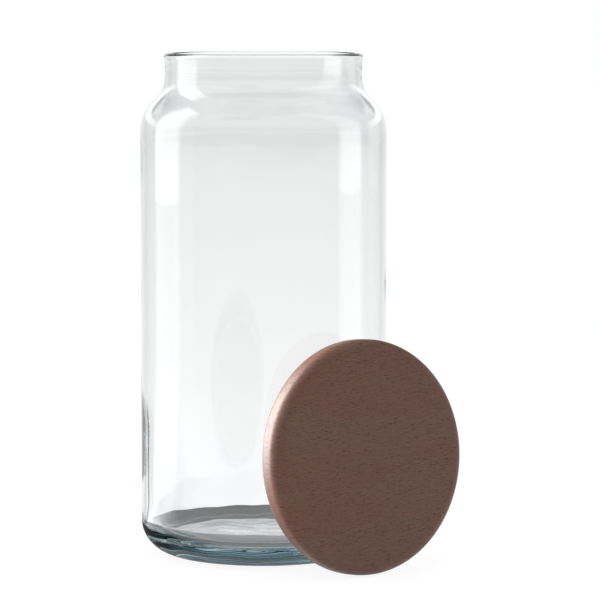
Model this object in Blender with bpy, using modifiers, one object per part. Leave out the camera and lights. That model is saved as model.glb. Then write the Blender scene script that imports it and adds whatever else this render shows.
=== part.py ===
"""Glass storage jar with a turned wooden lid, which is taken off and leans on the jar.

Metres, +Z up. The jar stands on the plane Z = 0 and the lid leans on its front, the -Y side.
The origin is the middle of the ground that the jar and the lid cover together.
Every round piece is a profile of (radius, height) points, turned about its own Z axis.
"""
from math import acos, cos, pi, radians, sin

import bpy

# Outside of the jar
jar_height = 0.2144
neck_radius = 0.0419
neck_height = 0.0114
shoulder_width = 0.0106
shoulder_radius = 0.0157
neck_fillet = 0.0103
rim_bulge = 0.0005
heel_run = 0.01635
heel_rise = 0.0148
foot_width = 0.0045
push_up_rise = 0.0024

# Glass thickness
neck_wall = 0.0026
body_wall = 0.0029
heel_wall = 0.0038
floor_thickness = 0.0098
floor_corner_run = 0.0055
floor_corner_rise = 0.0060
thick_wall_height = 0.0560

# Wooden lid, a round board with a plug turned on its underside
lid_overhang = 0.0064
top_edge_radius = 0.0052
edge_band = 0.0030
under_edge_radius = 0.0042
plug_clearance = 0.0027
plug_land = 0.0022
groove_depth = 0.0030
flange_thickness = 0.0028
plug_edge_radius = 0.0008

# Soft seal in the plug's groove
seal_gap = 0.0003
lip_thickness = 0.0011
lip_spacing = 0.0012
lip_tip_thickness = 0.0007
lip_rise = 0.0006
lip_squeeze = 0.0004

# Lid's resting place
lean_angle = radians(4.2)
rest_gap = 0.0003

# Fineness of the turned surfaces
turn_steps = 64
merge_distance = 0.00001

# Sizes that follow from those above
body_radius = neck_radius + shoulder_width
rim_radius = neck_radius + rim_bulge
bore_radius = neck_radius - neck_wall
rim_half_width = (rim_radius - bore_radius) / 2
foot_outer_radius = body_radius - heel_run
foot_inner_radius = foot_outer_radius - foot_width
chamber_radius = body_radius - body_wall
heel_chamber_radius = body_radius - heel_wall
board_radius = rim_radius + lid_overhang
board_thickness = top_edge_radius + edge_band + under_edge_radius
plug_radius = bore_radius - plug_clearance
groove_radius = plug_radius - groove_depth
seal_height = 2 * lip_thickness + lip_spacing
groove_height = seal_height + 2 * seal_gap
plug_depth = plug_land + groove_height + flange_thickness
lip_radius = bore_radius + lip_squeeze


def arc(centre_radius, centre_height, run, rise, start, end, pieces):
    """Points on an ellipse from angle start to angle end; run and rise are its half axes."""
    points = []
    for index in range(pieces + 1):
        angle = start + (end - start) * index / pieces
        points.append((centre_radius + run * cos(angle), centre_height + rise * sin(angle)))
    return points


def shoulder_curve(wide, narrow, convex, concave, foot_height, pieces):
    """Points up the S curve from a wide wall to a narrow one, square to neither end."""
    turn = acos(1 - (wide - narrow) / (convex + concave))
    top_height = foot_height + (convex + concave) * sin(turn)
    lower = arc(wide - convex, foot_height, convex, convex, 0, turn, pieces)
    upper = arc(narrow + concave, top_height, concave, concave, pi + turn, pi, pieces)
    return lower + upper[1:]


def shoulder_height(wide, narrow, convex, concave):
    """How far the S curve climbs."""
    turn = acos(1 - (wide - narrow) / (convex + concave))
    return (convex + concave) * sin(turn)


def material(name, colour, roughness, transmission, ior):
    made = bpy.data.materials.new(name)
    made.use_nodes = True
    shader = made.node_tree.nodes["Principled BSDF"]
    shader.inputs["Base Color"].default_value = (*colour, 1)
    shader.inputs["Roughness"].default_value = roughness
    shader.inputs["Metallic"].default_value = 0
    shader.inputs["Transmission Weight"].default_value = transmission
    shader.inputs["IOR"].default_value = ior
    made.diffuse_color = (*colour, 1)
    return made


def turned(name, profile, look, parent, collection):
    """A closed solid: the profile runs down its outer side and starts and ends alike."""
    mesh = bpy.data.meshes.new(name)
    points = [(radius, 0, height) for radius, height in profile]
    edges = [(index, index + 1) for index in range(len(points) - 1)]
    mesh.from_pydata(points, edges, [])
    mesh.materials.append(look)
    made = bpy.data.objects.new(name, mesh)
    made.parent = parent
    collection.objects.link(made)
    screw = made.modifiers.new("Turned", "SCREW")
    screw.axis = "Z"
    screw.steps = turn_steps
    screw.render_steps = turn_steps
    screw.use_merge_vertices = True
    screw.merge_threshold = merge_distance
    screw.use_smooth_shade = True
    return made


def jar_profile():
    """Up the inside from the middle of the floor, over the rim and down the outside."""
    convex_inside = shoulder_radius - body_wall
    concave_inside = neck_fillet + neck_wall
    climb = shoulder_height(body_radius, neck_radius, shoulder_radius, neck_fillet)
    wall_top = jar_height - neck_height - climb
    corner_centre = heel_chamber_radius - floor_corner_run
    corner_top = floor_thickness + floor_corner_rise
    rim_centre = bore_radius + rim_half_width
    rim_height = jar_height - rim_half_width

    inside = [(0, floor_thickness)]
    inside += arc(corner_centre, corner_top, floor_corner_run, floor_corner_rise, -pi / 2, 0, 7)
    inside += [(chamber_radius, corner_top + thick_wall_height)]
    inside += shoulder_curve(
        chamber_radius, bore_radius, convex_inside, concave_inside, wall_top, 5
    )
    rim = arc(rim_centre, rim_height, rim_half_width, rim_half_width, pi, 0, 8)
    outside = [(neck_radius, rim_height - rim_half_width)]
    outside += reversed(
        shoulder_curve(body_radius, neck_radius, shoulder_radius, neck_fillet, wall_top, 6)
    )
    outside += arc(foot_outer_radius, heel_rise, heel_run, heel_rise, 0, -pi / 2, 9)
    foot = arc(0, 0, foot_inner_radius, push_up_rise, 0, pi / 2, 6)
    return inside + rim + outside + foot


def lid_profile():
    """Down the board's rounded edge, across its underside and down the grooved plug."""
    board_edge = arc(
        board_radius - top_edge_radius,
        board_thickness - top_edge_radius,
        top_edge_radius,
        top_edge_radius,
        pi / 2,
        0,
        6,
    )
    board_edge += arc(
        board_radius - under_edge_radius,
        under_edge_radius,
        under_edge_radius,
        under_edge_radius,
        0,
        -pi / 2,
        5,
    )
    plug = [
        (plug_radius, 0),
        (plug_radius, -plug_land),
        (groove_radius, -plug_land),
        (groove_radius, -plug_land - groove_height),
        (plug_radius, -plug_land - groove_height),
    ]
    plug += arc(
        plug_radius - plug_edge_radius,
        plug_edge_radius - plug_depth,
        plug_edge_radius,
        plug_edge_radius,
        0,
        -pi / 2,
        3,
    )
    return [(0, board_thickness)] + board_edge + plug + [(0, -plug_depth)]


def seal_profile():
    """A closed ring: a core in the groove and two lips that reach past the neck's bore."""
    top = -plug_land - seal_gap
    bottom = top - seal_height
    inner_radius = groove_radius + seal_gap
    lips = []
    for lip_top in (top, bottom + lip_thickness):
        tip_middle = lip_top - lip_thickness / 2 + lip_rise
        tip_radius = lip_tip_thickness / 2
        lips += [(plug_radius, lip_top)]
        lips += arc(
            lip_radius - tip_radius, tip_middle, tip_radius, tip_radius, pi / 2, -pi / 2, 4
        )
        lips += [(plug_radius, lip_top - lip_thickness)]
    ring = [(inner_radius, top)] + lips + [(inner_radius, bottom)]
    return ring + ring[:1]


def lid_distance():
    """From the jar's axis to the middle of the board's underside, level with the ground."""
    plug_reach = (plug_radius - plug_edge_radius) * sin(lean_angle)
    plug_reach += (plug_depth - plug_edge_radius) * cos(lean_angle) + plug_edge_radius
    return body_radius + rest_gap + plug_reach


def lid_height():
    """Height of the same point when the board's edge stands on the ground."""
    under_edge = (board_radius - under_edge_radius) * cos(lean_angle)
    under_edge += under_edge_radius - under_edge_radius * sin(lean_angle)
    top_edge = (board_radius - top_edge_radius) * cos(lean_angle) + top_edge_radius
    top_edge -= (board_thickness - top_edge_radius) * sin(lean_angle)
    return max(under_edge, top_edge)


def front_reach():
    """From the jar's axis to the foremost point of the board."""
    reach = (board_thickness - top_edge_radius) * cos(lean_angle) + top_edge_radius
    reach += (board_radius - top_edge_radius) * sin(lean_angle)
    return lid_distance() + reach


def empty(name, location, tilt, collection):
    made = bpy.data.objects.new(name, None)
    made.location = location
    made.rotation_euler = (tilt, 0, 0)
    collection.objects.link(made)
    return made


def build():
    for old in list(bpy.data.objects):
        bpy.data.objects.remove(old, do_unlink=True)
    storage_jar = bpy.data.collections.new("storage_jar")
    bpy.context.scene.collection.children.link(storage_jar)

    clear_glass = material("clear_glass", (0.96, 0.98, 0.98), 0.02, 1, 1.5)
    brown_beech = material("brown_beech", (0.125, 0.072, 0.057), 0.55, 0, 1.45)
    milky_silicone = material("milky_silicone", (0.80, 0.81, 0.80), 0.45, 0.3, 1.41)

    jar_axis = (front_reach() - body_radius) / 2
    jar_stand = empty("jar_stand", (0, jar_axis, 0), 0, storage_jar)
    lid_place = (0, jar_axis - lid_distance(), lid_height())
    lid_stand = empty("lid_stand", lid_place, pi / 2 - lean_angle, storage_jar)

    turned("glass_jar", jar_profile(), clear_glass, jar_stand, storage_jar)
    turned("wooden_lid", lid_profile(), brown_beech, lid_stand, storage_jar)
    turned("silicone_seal", seal_profile(), milky_silicone, lid_stand, storage_jar)


build()
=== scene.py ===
"""Looks of a glass storage jar and of its turned wooden lid, which leans on the jar.

Metres, in the frame's own axes. Each round piece is a fine turned mesh that stands for the plainer solid of
the same sizes. The light is a white studio with tall soft lamps on the left and a lower one on the right.
"""
from math import acos, cos, exp, hypot, pi, radians, sin

import bpy
from mathutils import Matrix, Vector, noise


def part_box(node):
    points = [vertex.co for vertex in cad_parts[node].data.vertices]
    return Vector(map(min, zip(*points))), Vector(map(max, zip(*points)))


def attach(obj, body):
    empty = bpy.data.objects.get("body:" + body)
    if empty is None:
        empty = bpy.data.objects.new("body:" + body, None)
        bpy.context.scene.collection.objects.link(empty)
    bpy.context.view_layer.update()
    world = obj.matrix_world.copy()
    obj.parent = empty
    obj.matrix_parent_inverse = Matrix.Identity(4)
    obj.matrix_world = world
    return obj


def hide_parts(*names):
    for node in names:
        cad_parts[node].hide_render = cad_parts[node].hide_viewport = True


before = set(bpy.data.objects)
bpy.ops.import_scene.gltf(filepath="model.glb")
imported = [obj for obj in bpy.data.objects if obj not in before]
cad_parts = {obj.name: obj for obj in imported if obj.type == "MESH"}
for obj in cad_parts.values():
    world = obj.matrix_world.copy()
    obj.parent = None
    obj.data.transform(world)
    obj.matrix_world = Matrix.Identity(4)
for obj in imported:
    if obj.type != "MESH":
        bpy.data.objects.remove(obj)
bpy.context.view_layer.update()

# Jar sizes that its box doesn't give
neck_radius = 0.0419
neck_height = 0.0114
shoulder_radius = 0.0157
neck_fillet = 0.0103
rim_bulge = 0.0005
heel_run = 0.01635
heel_rise = 0.0148
foot_width = 0.0045
foot_round = 0.0009
push_up_rise = 0.0024
neck_wall = 0.0026
body_wall = 0.0027
heel_wall = 0.0044
floor_thickness = 0.0098
floor_corner_run = 0.0055
floor_corner_rise = 0.0060
taper_low = 0.0280
taper_high = 0.0720
bend_reach = 0.0026
soft_margin = 0.0120

# Waves of the pressed glass inside: how many to the metre and how far they stray
wall_waves = 38
wall_stray = 0.00008
base_waves = 95
base_stray = 0.00016
base_shift = Vector((3, 5, 7))
base_top = 0.030
base_fade = 0.015

# Lid and seal sizes that their boxes don't give
lean_angle = radians(4.2)
top_edge_radius = 0.0052
edge_band = 0.0030
under_edge_radius = 0.0042
plug_clearance = 0.0027
plug_land = 0.0022
groove_depth = 0.0030
flange_thickness = 0.0028
plug_edge_radius = 0.0008
seal_gap = 0.0003
lip_thickness = 0.0011
lip_spacing = 0.0012
lip_tip_thickness = 0.0007
lip_rise = 0.0006
lip_squeeze = 0.0004

# Places and sizes that follow from those above and from the frame
jar_low, jar_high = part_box("glass_jar")
lid_low, lid_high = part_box("wooden_lid")
jar_height = jar_high.z - jar_low.z
body_radius = (jar_high.x - jar_low.x) / 2
jar_axis = Vector(((jar_low.x + jar_high.x) / 2, (jar_low.y + jar_high.y) / 2, jar_low.z))
rim_radius = neck_radius + rim_bulge
bore_radius = neck_radius - neck_wall
rim_half_width = (rim_radius - bore_radius) / 2
foot_outer_radius = body_radius - heel_run
foot_inner_radius = foot_outer_radius - foot_width
chamber_radius = body_radius - body_wall
heel_chamber_radius = body_radius - heel_wall
board_radius = (lid_high.x - lid_low.x) / 2
board_thickness = top_edge_radius + edge_band + under_edge_radius
plug_radius = bore_radius - plug_clearance
groove_radius = plug_radius - groove_depth
seal_height = 2 * lip_thickness + lip_spacing
groove_height = seal_height + 2 * seal_gap
plug_depth = plug_land + groove_height + flange_thickness
lip_radius = bore_radius + lip_squeeze

# Fineness of the turned meshes round their axes
jar_steps = 256
lid_steps = 192
seal_steps = 128
card_steps = 64

# Fineness of the outlines: the pieces of each curve, and the longest straight piece
floor_corner_pieces = 26
taper_pieces = 16
inner_shoulder_pieces = 14
rim_pieces = 20
outer_shoulder_pieces = 16
heel_pieces = 30
foot_round_pieces = 5
push_up_pieces = 16
top_edge_pieces = 14
under_edge_pieces = 12
plug_edge_pieces = 6
lip_pieces = 8
wall_piece = 0.0020
merge_distance = 0.000001

# Easing of the bends: samples to either side, and how many of them make up the reach
ease_samples = 10
samples_in_reach = 4

# Points of the inside that stay even, next to the rim
even_rim_points = 12

# Edges of the wood and the seal that are steeper than this stay sharp
sharp_angle = radians(50)

# Tones of the stained wood, and how steeply its grain climbs to the right
wood_red = (0.160, 0.075, 0.054, 1)
wood_olive = (0.154, 0.084, 0.059, 1)
wood_dark = (0.100, 0.049, 0.035, 1)
wood_fleck = (0.046, 0.016, 0.010, 1)
grain_rise = radians(2)

# The grain's wandering: waves to the metre, and how far they carry it
wander_waves = 230.0
wander_reach = 0.0007
drift_waves = 38.0
drift_reach = 0.0040

# Bands and streaks of the wood, in waves to the metre along the grain, across it and into the wood
band_waves = (13, 95, 45)
streak_waves = (190, 1500, 260)

# Two nets of ray flecks: the net's shift, its cell's size, the fleck's half size and its darkness
fleck_nets = (
    ((0, 0, 0), (0.0028, 0.0012, 0.0034), (0.00125, 0.00026, 0.0016), 0.95),
    ((0.31, 0.17, 0.05), (0.0021, 0.0009, 0.0027), (0.00100, 0.00022, 0.0014), 0.75),
)
fleck_scatter = 0.95
fleck_share = 0.75
fleck_shade_band = (0.05, 1.35)
fleck_chance = 0.9
faintest_fleck = 0.15

# Noise levels over which one tone of the wood turns into the next, and the streaks' strength
tone_band = (0.42, 0.60)
streak_band = (0.40, 0.75)
streak_share = 0.40
streak_roughness = 0.6

# Gloss and relief of the wood: the streaks' height beside the flecks' depth, and the whole in metres
wood_roughness = (0.42, 0.58)
streak_height = 0.3
wood_relief = 0.00005

# Glass: its own tone, the tint that it takes on with thickness, and the waves of its surface
glass_tone = (0.993, 0.995, 0.994, 1)
glass_tint = (0.35, 0.72, 0.80, 1)
glass_tint_density = 6.0
glass_waves = 55.0
glass_relief = 0.0004

# Silicone: its tones and its grain
silicone_dim = (0.78, 0.79, 0.78, 1)
silicone_bright = (0.84, 0.85, 0.84, 1)
silicone_grain = 900.0
silicone_relief = 0.00005

# Camera at the photograph's viewing angle, in a studio that is turned from the jar's own axes
view_turn = radians(36.18)
camera_aside = 0.01557
camera_distance = 1.49365
camera_height = 0.24475
aim_height = 0.10887
lens_mm = 210.13

# Light levels, where 1 is white
left_radiance = 0.78
left_upper_radiance = 1.10
right_radiance = 0.29
lid_radiance = 20.0
side_radiance = 0.28
front_radiance = 0.28
fill_radiance = 0.85
glow_radiance = 0.45
ceiling_radiance = 0.28
seam_radiance = 0.82
backdrop_radiance = 0.86
# Painted shade that glass sees on the floor and strip, lighter at the middle under the jar
painted_shade_radiance = 0.12
foot_shade_radiance = 0.26
dark_studio = (0.05, 0.07, 0.09)
dark_limit = 0.6
white = (1, 1, 1, 1)
black = (0, 0, 0, 1)

# Lamps' azimuths, to the right of the camera's side of the jar
left_azimuth = radians(-101.5)
right_azimuth = radians(92.5)
lid_azimuth = radians(-111)
lamp_distance = 1.0

# Bands over which the studio changes with the rise of a direction, which is the sine of its angle
seam_drop = 0.026
seam_band = (0.004, 0.011)
glow_band = (0.085, 0.130)
upper_band = (0.205, 0.245)
upper_share = 0.38
top_band = (0.39, 0.43)
ceiling_band = (0.77, 0.84)

# Bands over which it changes with the cosine of the angle from the camera's side
backdrop_band = (-0.985, -0.86)
side_share = 0.84
side_band = (cos(radians(130)), cos(radians(115)))
front_band = (cos(radians(40)), cos(radians(34)))

# White floor: its half width, its drop below the jar and how its light falls off with distance
floor_half_width = 4.0
floor_drop = 0.0001
floor_base = 0.775
floor_falloff = 0.44
far_band = (2.6, 4.0)
far_share = 0.955

# The lamps' painted light on the floor: side, azimuth, middle and half width of the sector, and radiance
painted_lamp_pools = (
    (-1, left_azimuth, -0.190, 0.295, left_radiance),
    (1, right_azimuth, -0.042, 0.250, right_radiance),
)
sector_edge = 0.015

# Painted shade on the floor that glass sees: a patch under the jar, and another behind it on the left
shade_radius = 0.060
shade_edge = 0.001
foot_shade_band = (0.030, body_radius + 0.002)
shade_patch_aside = 0.53
shade_patch_edge_band = (0.018, 0.042)
shade_patch_end_band = (0.24, 0.44)

# What the camera and matt pieces see of the floor
camera_cloth = 0.15
camera_glow = 0.90
matt_cloth = 0.80

# Low strip of painted shade round the jar, open where the lid stands
strip_height = 0.0102
strip_least = 0.0001
strip_start = radians(-14)
strip_end = radians(262)
strip_pieces = 92
strip_end_pieces = 16

# How far the unseen card reaches past the lid's board and plug
card_overlap = 0.0020

# Light passes through the thick glass many times
light_bounces = 32


def eased(share):
    """A share from 0 to 1 that sets off and arrives gently."""
    return share * share * (3 - 2 * share)


def arc(centre_radius, centre_height, run, rise, start, end, pieces):
    """Points on an ellipse from angle start to angle end; run and rise are its half axes."""
    points = []
    for index in range(pieces + 1):
        angle = start + (end - start) * index / pieces
        points.append((centre_radius + run * cos(angle), centre_height + rise * sin(angle)))
    return points


def shoulder_curve(wide, narrow, convex, concave, foot_height, pieces):
    """Points up the S curve from a wide wall to a narrow one, square to neither end."""
    turn = acos(1 - (wide - narrow) / (convex + concave))
    top_height = foot_height + (convex + concave) * sin(turn)
    lower = arc(wide - convex, foot_height, convex, convex, 0, turn, pieces)
    upper = arc(narrow + concave, top_height, concave, concave, pi + turn, pi, pieces)
    return lower + upper[1:]


def filled(outline, longest):
    """The outline with its long straight stretches divided, so that no piece is longer than longest."""
    points = [outline[0]]
    for end in outline[1:]:
        start = points[-1]
        length = hypot(end[0] - start[0], end[1] - start[1])
        if length < merge_distance:
            continue
        pieces = max(1, round(length / longest + 0.5))
        for index in range(1, pieces + 1):
            share = index / pieces
            points.append(
                (start[0] + (end[0] - start[0]) * share, start[1] + (end[1] - start[1]) * share)
            )
    return points


def spot_along(outline, lengths, length):
    """The point at a length along the outline, whose own points lie at the lengths given."""
    index = 1
    while index < len(outline) - 1 and lengths[index] < length:
        index += 1
    share = (length - lengths[index - 1]) / (lengths[index] - lengths[index - 1])
    start = outline[index - 1]
    end = outline[index]
    return start[0] + (end[0] - start[0]) * share, start[1] + (end[1] - start[1]) * share


def softened(outline, reach, low, high):
    """The outline with its bends eased over a reach along it, between two heights."""
    lengths = [0]
    for start, end in zip(outline, outline[1:]):
        lengths.append(lengths[-1] + hypot(end[0] - start[0], end[1] - start[1]))
    shifts = [step / samples_in_reach for step in range(-ease_samples, ease_samples + 1)]
    weights = [exp(-shift ** 2 / 2) for shift in shifts]
    points = []
    for (radius, height), length in zip(outline, lengths):
        if not low < height < high:
            points.append((radius, height))
            continue
        near = [spot_along(outline, lengths, length + reach * shift) for shift in shifts]
        eased_radius = sum(weight * spot[0] for weight, spot in zip(weights, near)) / sum(weights)
        eased_height = sum(weight * spot[1] for weight, spot in zip(weights, near)) / sum(weights)
        points.append((eased_radius, eased_height))
    return points


def jar_outlines():
    """The inside from the middle of the floor to the rim, and the outside from there to the push-up."""
    convex_inside = shoulder_radius - body_wall
    concave_inside = neck_fillet + neck_wall
    turn = acos(1 - (body_radius - neck_radius) / (shoulder_radius + neck_fillet))
    climb = (shoulder_radius + neck_fillet) * sin(turn)
    wall_top = jar_height - neck_height - climb
    corner_centre = heel_chamber_radius - floor_corner_run
    corner_top = floor_thickness + floor_corner_rise
    rim_centre = bore_radius + rim_half_width
    rim_height = jar_height - rim_half_width

    inside = [(0, floor_thickness)]
    inside += arc(
        corner_centre,
        corner_top,
        floor_corner_run,
        floor_corner_rise,
        -pi / 2,
        0,
        floor_corner_pieces,
    )
    for index in range(taper_pieces + 1):
        share = index / taper_pieces
        height = taper_low + (taper_high - taper_low) * share
        radius = heel_chamber_radius + (chamber_radius - heel_chamber_radius) * eased(share)
        inside.append((radius, height))
    inside += shoulder_curve(
        chamber_radius,
        bore_radius,
        convex_inside,
        concave_inside,
        wall_top,
        inner_shoulder_pieces,
    )
    outside = arc(rim_centre, rim_height, rim_half_width, rim_half_width, pi, 0, rim_pieces)
    outside += [(neck_radius, rim_height - 2 * rim_half_width)]
    outside += reversed(
        shoulder_curve(
            body_radius,
            neck_radius,
            shoulder_radius,
            neck_fillet,
            wall_top,
            outer_shoulder_pieces,
        )
    )
    outside += arc(foot_outer_radius, heel_rise, heel_run, heel_rise, 0, -pi / 2, heel_pieces)
    outside += arc(
        foot_inner_radius + foot_round,
        foot_round,
        foot_round,
        foot_round,
        -pi / 2,
        -pi,
        foot_round_pieces,
    )
    outside += arc(
        0,
        foot_round,
        foot_inner_radius,
        push_up_rise - foot_round,
        0,
        pi / 2,
        push_up_pieces,
    )
    low = wall_top - soft_margin
    high = jar_height - 2 * rim_half_width - soft_margin / 4
    inside = softened(filled(inside, wall_piece), bend_reach, low, high)
    outside = softened(filled(outside, wall_piece), bend_reach, low, high)
    return inside, outside


def lid_outline():
    """Down the board's rounded edge, across its underside and down the grooved plug."""
    board_edge = arc(
        board_radius - top_edge_radius,
        board_thickness - top_edge_radius,
        top_edge_radius,
        top_edge_radius,
        pi / 2,
        0,
        top_edge_pieces,
    )
    board_edge += arc(
        board_radius - under_edge_radius,
        under_edge_radius,
        under_edge_radius,
        under_edge_radius,
        0,
        -pi / 2,
        under_edge_pieces,
    )
    plug = [
        (plug_radius, 0),
        (plug_radius, -plug_land),
        (groove_radius, -plug_land),
        (groove_radius, -plug_land - groove_height),
        (plug_radius, -plug_land - groove_height),
    ]
    plug += arc(
        plug_radius - plug_edge_radius,
        plug_edge_radius - plug_depth,
        plug_edge_radius,
        plug_edge_radius,
        0,
        -pi / 2,
        plug_edge_pieces,
    )
    return filled([(0, board_thickness)] + board_edge + plug + [(0, -plug_depth)], wall_piece)


def seal_outline():
    """A closed ring: a core in the groove and two lips that reach past the neck's bore."""
    top = -plug_land - seal_gap
    bottom = top - seal_height
    inner_radius = groove_radius + seal_gap
    tip_radius = lip_tip_thickness / 2
    lips = []
    for lip_top in (top, bottom + lip_thickness):
        tip_middle = lip_top - lip_thickness / 2 + lip_rise
        lips += [(plug_radius, lip_top)]
        lips += arc(
            lip_radius - tip_radius,
            tip_middle,
            tip_radius,
            tip_radius,
            pi / 2,
            -pi / 2,
            lip_pieces,
        )
        lips += [(plug_radius, lip_top - lip_thickness)]
    ring = [(inner_radius, top)] + lips + [(inner_radius, bottom)]
    return ring + ring[:1]


def pressed_unevenness(radius, angle, height):
    """How far the jar's inside strays from round: soft waves up the wall, and more of them at the base."""
    spot = Vector((radius * cos(angle), radius * sin(angle), height))
    wall = noise.noise(spot * wall_waves) * wall_stray
    near_base = max(0.0, min(1.0, (base_top - height) / base_fade))
    base = noise.noise(spot * base_waves + base_shift) * base_stray
    return wall + near_base * base


def shown(name, data):
    """A new object, linked into the scene."""
    made = bpy.data.objects.new(name, data)
    bpy.context.scene.collection.objects.link(made)
    return made


def meshed(name, vertices, faces):
    """A new mesh object of that name."""
    mesh = bpy.data.meshes.new(name)
    mesh.from_pydata(vertices, [], faces)
    return shown(name, mesh)


def unseen_by(made, *rays):
    """Hides an object from some kinds of rays."""
    for ray in rays:
        setattr(made, "visible_" + ray, False)


def turned(name, outline, steps, place, closed=False, uneven_count=0):
    """A mesh turned about Z from an outline, set in its place; its first points may stray from round."""
    points = outline[:-1] if closed else outline
    vertices = []
    rings = []
    for number, (radius, height) in enumerate(points):
        if radius == 0:
            rings.append([len(vertices)] * steps)
            vertices.append(place @ Vector((0, 0, height)))
            continue
        rings.append(range(len(vertices), len(vertices) + steps))
        for step in range(steps):
            angle = 2 * pi * step / steps
            stray = pressed_unevenness(radius, angle, height) if number < uneven_count else 0
            flat = stray if height > floor_thickness + merge_distance else 0
            up = stray if height < floor_thickness + merge_distance else 0
            reach = radius + flat
            vertices.append(place @ Vector((reach * cos(angle), reach * sin(angle), height + up)))
    if closed:
        rings.append(rings[0])
    faces = []
    for upper, lower in zip(rings, rings[1:]):
        for step in range(steps):
            after = (step + 1) % steps
            corners = [upper[step], lower[step], lower[after], upper[after]]
            faces.append(list(dict.fromkeys(corners)))
    made = meshed(name, vertices, faces)
    made.data.shade_smooth()
    return made


class Shader:
    """Builds a material's nodes in few words."""

    def __init__(self, name, tree=None):
        if tree is None:
            self.material = bpy.data.materials.new(name)
            self.material.use_nodes = True
            tree = self.material.node_tree
        self.tree = tree
        self.tree.nodes.clear()

    def add(self, kind, inputs=None, **settings):
        node = self.tree.nodes.new("ShaderNode" + kind)
        for setting, value in settings.items():
            setattr(node, setting, value)
        for socket, value in (inputs or {}).items():
            if isinstance(value, bpy.types.NodeSocket):
                self.tree.links.new(value, node.inputs[socket])
            else:
                node.inputs[socket].default_value = value
        return node

    def maths(self, operation, *values):
        """A sum with one to three numbers."""
        node = self.add("Math", dict(enumerate(values)), operation=operation)
        return node.outputs[0]

    def ramp(self, value, low, high, start=0.0, end=1.0):
        """A smooth step from start to end while value goes from low to high."""
        inputs = {"Value": value, "From Min": low, "From Max": high, "To Min": start, "To Max": end}
        return self.add("MapRange", inputs, interpolation_type="SMOOTHSTEP").outputs[0]

    def mix(self, factor, first, second):
        """A colour between two others."""
        inputs = {0: factor, 6: first, 7: second}
        return self.add("Mix", inputs, data_type="RGBA", blend_type="MIX").outputs[2]

    def blend(self, factor, first, second):
        """A number between two others."""
        return self.add("Mix", {0: factor, 2: first, 3: second}).outputs[0]

    def grey(self, level):
        """A colour whose three parts are the same."""
        return self.add("CombineXYZ", {0: level, 1: level, 2: level}).outputs[0]

    def dot(self, first, second):
        """How far one direction goes along another."""
        inputs = {0: first, 1: second}
        return self.add("VectorMath", inputs, operation="DOT_PRODUCT").outputs["Value"]

    def scaled(self, vector, scale, shift=(0, 0, 0)):
        """A place, scaled and then shifted."""
        inputs = {"Vector": vector, "Location": shift, "Scale": scale}
        return self.add("Mapping", inputs).outputs[0]

    def noise(self, vector, scale=1.0, detail=2.0, roughness=0.5):
        inputs = {"Vector": vector, "Scale": scale, "Detail": detail, "Roughness": roughness}
        return self.add("TexNoise", inputs).outputs["Fac"]

    def end(self, surface, volume=None):
        output = self.add("OutputMaterial", {"Surface": surface})
        if volume is not None:
            self.tree.links.new(volume, output.inputs["Volume"])
        return self.material


def clear_glass():
    """Clear soda glass, with a green-blue tint where it is thick and a faint waviness."""
    shader = Shader("clear_glass")
    place = shader.add("TexCoord").outputs["Object"]
    waves = shader.noise(place, glass_waves, detail=1.0)
    bump = shader.add("Bump", {"Strength": 0.08, "Distance": glass_relief, "Height": waves})
    surface = shader.add(
        "BsdfPrincipled",
        {
            "Base Color": glass_tone,
            "Roughness": 0.0,
            "IOR": 1.5,
            "Transmission Weight": 1.0,
            "Normal": bump.outputs[0],
        },
    )
    absorption = {"Color": glass_tint, "Density": glass_tint_density}
    volume = shader.add("VolumeAbsorption", absorption)
    return shader.end(surface.outputs[0], volume.outputs[0])


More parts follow.
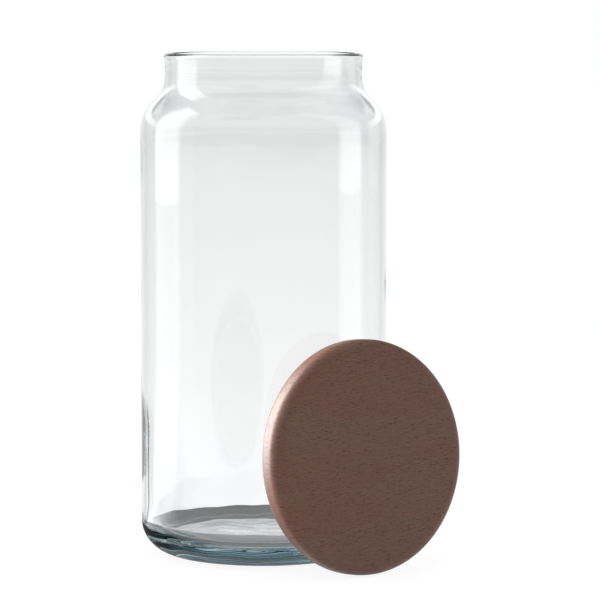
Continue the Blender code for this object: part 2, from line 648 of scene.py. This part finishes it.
def brown_beech():
    """Brown-stained beech: soft level bands of tone, and the dense short dark flecks of its rays."""
    shader = Shader("brown_beech")
    place = shader.add("TexCoord").outputs["Object"]
    settled = {"Vector": place, "Location": lid_centre, "Rotation": lid_turn.to_euler()}
    own_place = shader.add("Mapping", settled, vector_type="TEXTURE").outputs[0]
    grain_turn = {"Vector": own_place, "Rotation": (0, 0, -grain_rise)}
    grain_place = shader.add("Mapping", grain_turn).outputs[0]

    # The grain wanders up and down a little
    wander = shader.noise(grain_place, wander_waves, detail=1.0)
    drift = shader.noise(grain_place, drift_waves, detail=1.0)
    carried = shader.maths("MULTIPLY", drift, drift_reach)
    sway = shader.maths("MULTIPLY_ADD", wander, wander_reach, carried)
    parts = shader.add("SeparateXYZ", {0: grain_place}).outputs
    along = {0: parts[0], 1: shader.maths("ADD", parts[1], sway), 2: parts[2]}
    wavy_place = shader.add("CombineXYZ", along).outputs[0]
    bands = shader.noise(shader.scaled(wavy_place, band_waves))
    streaks = shader.noise(shader.scaled(wavy_place, streak_waves), roughness=streak_roughness)

    # Ray flecks: a short dark lens in each cell of a stretched net of points
    flecks = None
    for shift, cell, lens, darkness in fleck_nets:
        in_net = shader.scaled(wavy_place, [1 / side for side in cell], shift)
        net_inputs = {"Vector": in_net, "Scale": 1.0, "Randomness": fleck_scatter}
        net = shader.add("TexVoronoi", net_inputs).outputs
        offset = shader.add("VectorMath", {0: in_net, 1: net["Position"]}, operation="SUBTRACT")
        shares = [side / half for side, half in zip(cell, lens)]
        within = shader.add("VectorMath", {0: offset.outputs[0], 1: shares}, operation="MULTIPLY")
        off_middle = shader.add("VectorMath", {0: within.outputs[0]}, operation="LENGTH")
        shade = shader.ramp(off_middle.outputs["Value"], *fleck_shade_band, 1.0, 0.0)
        chance = shader.add("SeparateXYZ", {0: net["Color"]}).outputs[0]
        depth = shader.ramp(chance, 0.0, fleck_chance, faintest_fleck, darkness)
        fleck = shader.maths("MULTIPLY", depth, shade)
        flecks = fleck if flecks is None else shader.maths("MAXIMUM", flecks, fleck)

    tone = shader.mix(shader.ramp(bands, *tone_band), wood_red, wood_olive)
    tone = shader.mix(shader.ramp(streaks, *streak_band, 0.0, streak_share), tone, wood_dark)
    tone = shader.mix(shader.maths("MULTIPLY", flecks, fleck_share), tone, wood_fleck)
    height = shader.maths("SUBTRACT", shader.maths("MULTIPLY", streaks, streak_height), flecks)
    bump = shader.add("Bump", {"Strength": 0.5, "Distance": wood_relief, "Height": height})
    surface = shader.add(
        "BsdfPrincipled",
        {
            "Base Color": tone,
            "Roughness": shader.ramp(flecks, 0.0, 1.0, *wood_roughness),
            "IOR": 1.45,
            "Specular IOR Level": 0.35,
            "Normal": bump.outputs[0],
        },
    )
    return shader.end(surface.outputs[0])


def milky_silicone():
    """Soft silicone, matt and a little see-through."""
    shader = Shader("milky_silicone")
    place = shader.add("TexCoord").outputs["Object"]
    grain = shader.noise(place, silicone_grain)
    bump = shader.add("Bump", {"Strength": 0.2, "Distance": silicone_relief, "Height": grain})
    surface = shader.add(
        "BsdfPrincipled",
        {
            "Base Color": shader.mix(grain, silicone_dim, silicone_bright),
            "Roughness": 0.42,
            "IOR": 1.41,
            "Transmission Weight": 0.3,
            "Normal": bump.outputs[0],
        },
    )
    return shader.end(surface.outputs[0])


def place_piece(piece, material, body, node):
    piece.data.materials.append(material)
    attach(piece, body)
    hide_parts(node)


# The lid's own frame: Z is its outward face, Y runs up the face and X is level, along the grain
lid_turn = Matrix.Rotation(pi / 2 - lean_angle, 4, "X")
under_edge = (board_radius - under_edge_radius) * cos(lean_angle)
under_edge += under_edge_radius - under_edge_radius * sin(lean_angle)
top_edge = (board_radius - top_edge_radius) * cos(lean_angle) + top_edge_radius
top_edge -= (board_thickness - top_edge_radius) * sin(lean_angle)
front_reach = (board_thickness - top_edge_radius) * cos(lean_angle) + top_edge_radius
front_reach += (board_radius - top_edge_radius) * sin(lean_angle)
lid_centre = Vector((jar_axis.x, lid_low.y + front_reach, max(under_edge, top_edge)))
lid_place = Matrix.Translation(lid_centre) @ lid_turn
jar_place = Matrix.Translation(jar_axis)

inside, outside = jar_outlines()
uneven_points = len(inside) - even_rim_points
jar = turned("jar_glass", inside + outside[1:], jar_steps, jar_place, uneven_count=uneven_points)
lid = turned("lid_board", lid_outline(), lid_steps, lid_place)
seal = turned("lid_seal", seal_outline(), seal_steps, lid_place, closed=True)
lid.data.set_sharp_from_angle(angle=sharp_angle)
seal.data.set_sharp_from_angle(angle=sharp_angle)
place_piece(jar, clear_glass(), "jar", "glass_jar")
place_piece(lid, brown_beech(), "lid", "wooden_lid")
place_piece(seal, milky_silicone(), "lid", "silicone_seal")

studio_turn = Matrix.Rotation(-view_turn, 4, "Z")


def studio(across, away, height):
    """A point by its place across the view, its distance behind the jar's axis and its height."""
    return jar_axis + studio_turn @ Vector((across, away, height))


def aimed(made, place, target):
    made.location = place
    made.rotation_euler = (target - place).to_track_quat("-Z", "Y").to_euler()


camera_data = bpy.data.cameras.new("camera")
camera_data.lens = lens_mm
camera_data.sensor_width = 36.0
camera = shown("camera", camera_data)
aimed(
    camera,
    studio(camera_aside, -camera_distance, camera_height),
    studio(camera_aside, 0, aim_height),
)
bpy.context.scene.camera = camera


def softbox(name, azimuth, distance, width, height, centre_height, radiance):
    """A soft lamp at an azimuth to the right of the camera's side, facing the jar and unseen itself."""
    light = bpy.data.lights.new(name, "AREA")
    light.shape = "RECTANGLE"
    light.size = width
    light.size_y = height
    light.energy = radiance * pi * width * height
    made = shown(name, light)
    unseen_by(made, "camera")
    place = studio(distance * sin(azimuth), -distance * cos(azimuth), centre_height)
    aimed(made, place, studio(0, 0, centre_height))
    return made


def gathered(name, *pieces):
    """A collection that a lamp can be linked to."""
    collection = bpy.data.collections.new(name)
    for piece in pieces:
        collection.objects.link(piece)
    return collection


left_lamp = softbox(
    "left_softbox",
    left_azimuth,
    lamp_distance,
    width=0.63,
    height=1.3,
    centre_height=0.65,
    radiance=left_radiance,
)
left_upper_lamp = softbox(
    "left_upper_softbox",
    left_azimuth,
    distance=0.96,
    width=0.60,
    height=1.20,
    centre_height=0.692,
    radiance=left_upper_radiance,
)
right_lamp = softbox(
    "right_softbox",
    right_azimuth,
    lamp_distance,
    width=0.53,
    height=0.64,
    centre_height=0.32,
    radiance=right_radiance,
)

# An unseen card behind the lid keeps the lid's own lamp off the lid's back, so that only the rim catches it
card_radius = board_radius + card_overlap
card_depth = -plug_depth - card_overlap
card_points = []
for step in range(card_steps):
    angle = 2 * pi * step / card_steps
    on_card = Vector((card_radius * cos(angle), card_radius * sin(angle), card_depth))
    card_points.append(lid_place @ on_card)
card = meshed("lamp_card", card_points, [list(range(card_steps))])
unseen_by(card, "camera", "diffuse", "glossy", "transmission", "volume_scatter")
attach(card, "lid")

open_blockers = gathered("open_blockers", jar, lid, seal)
for lamp in (left_lamp, left_upper_lamp, right_lamp):
    lamp.light_linking.blocker_collection = open_blockers

# A strong lamp on the left that only the lid catches, past the card
lid_light = softbox(
    "lid_light",
    lid_azimuth,
    lamp_distance,
    width=0.60,
    height=1.6,
    centre_height=0.65,
    radiance=lid_radiance,
)
lid_light.light_linking.receiver_collection = gathered("lid_only", lid, seal)
lid_light.light_linking.blocker_collection = gathered("lid_blockers", lid, seal, card)


def backdrop_share(shader, direction):
    """The cosine of a direction's angle from the camera's side, and the backdrop's fall to either side."""
    facing = shader.dot(direction, studio_turn @ Vector((0, -1, 0)))
    return facing, shader.ramp(facing, *backdrop_band, 1.0, side_share)


def studio_world():
    """What glass and gloss see: a backdrop with a glow over it, dark above, and greyer sides and front.

    Matt pieces see an even pale light, and the camera sees white.
    """
    world = bpy.data.worlds.new("studio")
    bpy.context.scene.world = world
    world.use_nodes = True
    world.cycles.sampling_method = "NONE"
    shader = Shader("studio", world.node_tree)
    direction = shader.add("TexCoord").outputs["Generated"]
    facing, share = backdrop_share(shader, direction)
    rise = shader.add("SeparateXYZ", {0: direction}).outputs[2]
    from_seam = shader.maths("ABSOLUTE", shader.maths("ADD", rise, seam_drop))
    backdrop = shader.ramp(from_seam, *seam_band, seam_radiance, backdrop_radiance)
    backdrop = shader.maths("MULTIPLY", backdrop, share)
    backdrop = shader.maths("ADD", backdrop, shader.ramp(rise, *glow_band, 0.0, glow_radiance))
    backdrop = shader.maths("MULTIPLY", backdrop, shader.ramp(rise, *upper_band, 1.0, upper_share))
    backdrop = shader.maths("MULTIPLY", backdrop, shader.ramp(rise, *top_band, 1.0, 0.0))
    ceiling = shader.ramp(rise, *ceiling_band, 0.0, ceiling_radiance)
    to_side = shader.ramp(facing, *side_band)
    to_front = shader.ramp(facing, *front_band)
    around = shader.blend(to_side, backdrop, side_radiance)
    around = shader.blend(to_front, around, front_radiance)
    around = shader.maths("ADD", around, ceiling)
    dark = shader.mix(shader.ramp(around, 0.0, dark_limit), (*dark_studio, 1), black)
    colour = shader.add("VectorMath", {0: shader.grey(around), 1: dark}, operation="ADD").outputs[0]
    ray = shader.add("LightPath").outputs
    fill = (fill_radiance, fill_radiance, fill_radiance, 1)
    colour = shader.mix(ray["Is Diffuse Ray"], colour, fill)
    colour = shader.mix(ray["Is Camera Ray"], colour, white)
    background = shader.add("Background", {"Color": colour, "Strength": 1.0})
    shader.add("OutputWorld", {"Surface": background.outputs[0]})


def pale_floor():
    """A white floor that keeps a faint shadow of the object; glass sees painted light and shade on it."""
    reach = floor_half_width
    corners = [(-reach, -reach, 0), (reach, -reach, 0), (reach, reach, 0), (-reach, reach, 0)]
    made = meshed("floor", corners, [(0, 1, 2, 3)])
    made.location = (jar_axis.x, jar_axis.y, jar_low.z - floor_drop)
    shader = Shader("white_floor")
    shader.material.cycles.emission_sampling = "NONE"
    place = shader.add("TexCoord").outputs["Object"]
    direction = shader.add("VectorMath", {0: place}, operation="NORMALIZE").outputs[0]
    away = shader.add("VectorMath", {0: place}, operation="LENGTH").outputs["Value"]
    facing, share = backdrop_share(shader, direction)
    from_camera = shader.maths("ADD", away, camera_distance)
    table = shader.maths("ADD", shader.maths("DIVIDE", floor_falloff, from_camera), floor_base)
    table = shader.maths("MULTIPLY", table, share)
    table = shader.maths("MULTIPLY", table, shader.ramp(away, *far_band, 1.0, far_share))

    # Painted light of each lamp goes on down over the floor, from under the jar to the lamp's plane
    to_right = studio_turn @ Vector((1, 0, 0))
    aside = shader.dot(direction, to_right)
    for side, azimuth, middle, half_width, radiance in painted_lamp_pools:
        off_middle = shader.maths("ABSOLUTE", shader.maths("SUBTRACT", facing, middle))
        edge = (half_width - sector_edge, half_width + sector_edge)
        lamp = shader.ramp(off_middle, *edge, radiance, 0.0)
        on_side = shader.maths("GREATER_THAN", shader.maths("MULTIPLY", aside, side), 0.0)
        lamp = shader.maths("MULTIPLY", lamp, on_side)
        toward = shader.dot(place, studio_turn @ Vector((sin(azimuth), -cos(azimuth), 0)))
        before_lamp = shader.maths("LESS_THAN", toward, lamp_distance)
        lamp = shader.maths("MULTIPLY", lamp, before_lamp)
        table = shader.maths("ADD", table, lamp)

    # Painted shade under the jar, lighter at its middle, and a patch of painted shade behind it on the left
    shade_under_jar = shader.ramp(away, *foot_shade_band, foot_shade_radiance, painted_shade_radiance)
    off_shade = shader.ramp(away, shade_radius - shade_edge, shade_radius + shade_edge)
    table = shader.blend(off_shade, shade_under_jar, table)
    left_foot = studio_turn @ Vector((-body_radius, 0, 0))
    edge_place = shader.add("VectorMath", {0: place, 1: left_foot}, operation="SUBTRACT")
    edge_direction = shader.add("VectorMath", {0: edge_place.outputs[0]}, operation="NORMALIZE")
    edge_aside = shader.dot(edge_direction.outputs[0], to_right)
    off_shade_patch = shader.maths("ABSOLUTE", shader.maths("ADD", edge_aside, shade_patch_aside))
    behind = shader.maths("LESS_THAN", facing, 0.0)
    shade_patch = shader.maths("MULTIPLY", shader.ramp(off_shade_patch, *shade_patch_edge_band, 1.0, 0.0), behind)
    shade_patch = shader.maths("MULTIPLY", shade_patch, shader.ramp(away, *shade_patch_end_band, 1.0, 0.0))
    table = shader.blend(shade_patch, table, painted_shade_radiance)

    # The camera sees it white, matt pieces see pale cloth, glass sees its glow, painted light and shade
    ray = shader.add("LightPath").outputs
    cloth_tone = shader.blend(ray["Is Camera Ray"], 0.0, camera_cloth)
    cloth_tone = shader.blend(ray["Is Diffuse Ray"], cloth_tone, matt_cloth)
    glow_tone = shader.blend(ray["Is Camera Ray"], table, camera_glow)
    glow_tone = shader.blend(ray["Is Diffuse Ray"], glow_tone, 0.0)
    cloth = shader.add("BsdfDiffuse", {"Color": shader.grey(cloth_tone)})
    glow = shader.add("Emission", {"Strength": glow_tone})
    both = shader.add("AddShader", {0: cloth.outputs[0], 1: glow.outputs[0]})
    made.data.materials.append(shader.end(both.outputs[0]))


def painted_shade_strip():
    """A low strip of painted shade round the patch, lower at its ends, which only glass and gloss show."""
    corners = []
    for index in range(strip_pieces + 1):
        angle = strip_start + (strip_end - strip_start) * index / strip_pieces
        across = shade_radius * cos(angle)
        behind = shade_radius * sin(angle)
        share = min(1.0, index / strip_end_pieces, (strip_pieces - index) / strip_end_pieces)
        height = strip_height * eased(share) + strip_least
        corners += [studio(across, behind, 0), studio(across, behind, height)]
    faces = [(low, low + 2, low + 3, low + 1) for low in range(0, len(corners) - 2, 2)]
    made = meshed("painted_shade_strip", corners, faces)
    unseen_by(made, "camera", "diffuse", "shadow")
    shader = Shader("painted_shade_strip")
    shader.material.cycles.emission_sampling = "NONE"
    glow = shader.add("Emission", {"Strength": painted_shade_radiance})
    made.data.materials.append(shader.end(glow.outputs[0]))


studio_world()
pale_floor()
painted_shade_strip()
bpy.context.scene.view_settings.view_transform = "Standard"
bpy.context.scene.cycles.max_bounces = light_bounces
bpy.context.scene.cycles.glossy_bounces = light_bounces
bpy.context.scene.cycles.transmission_bounces = light_bounces
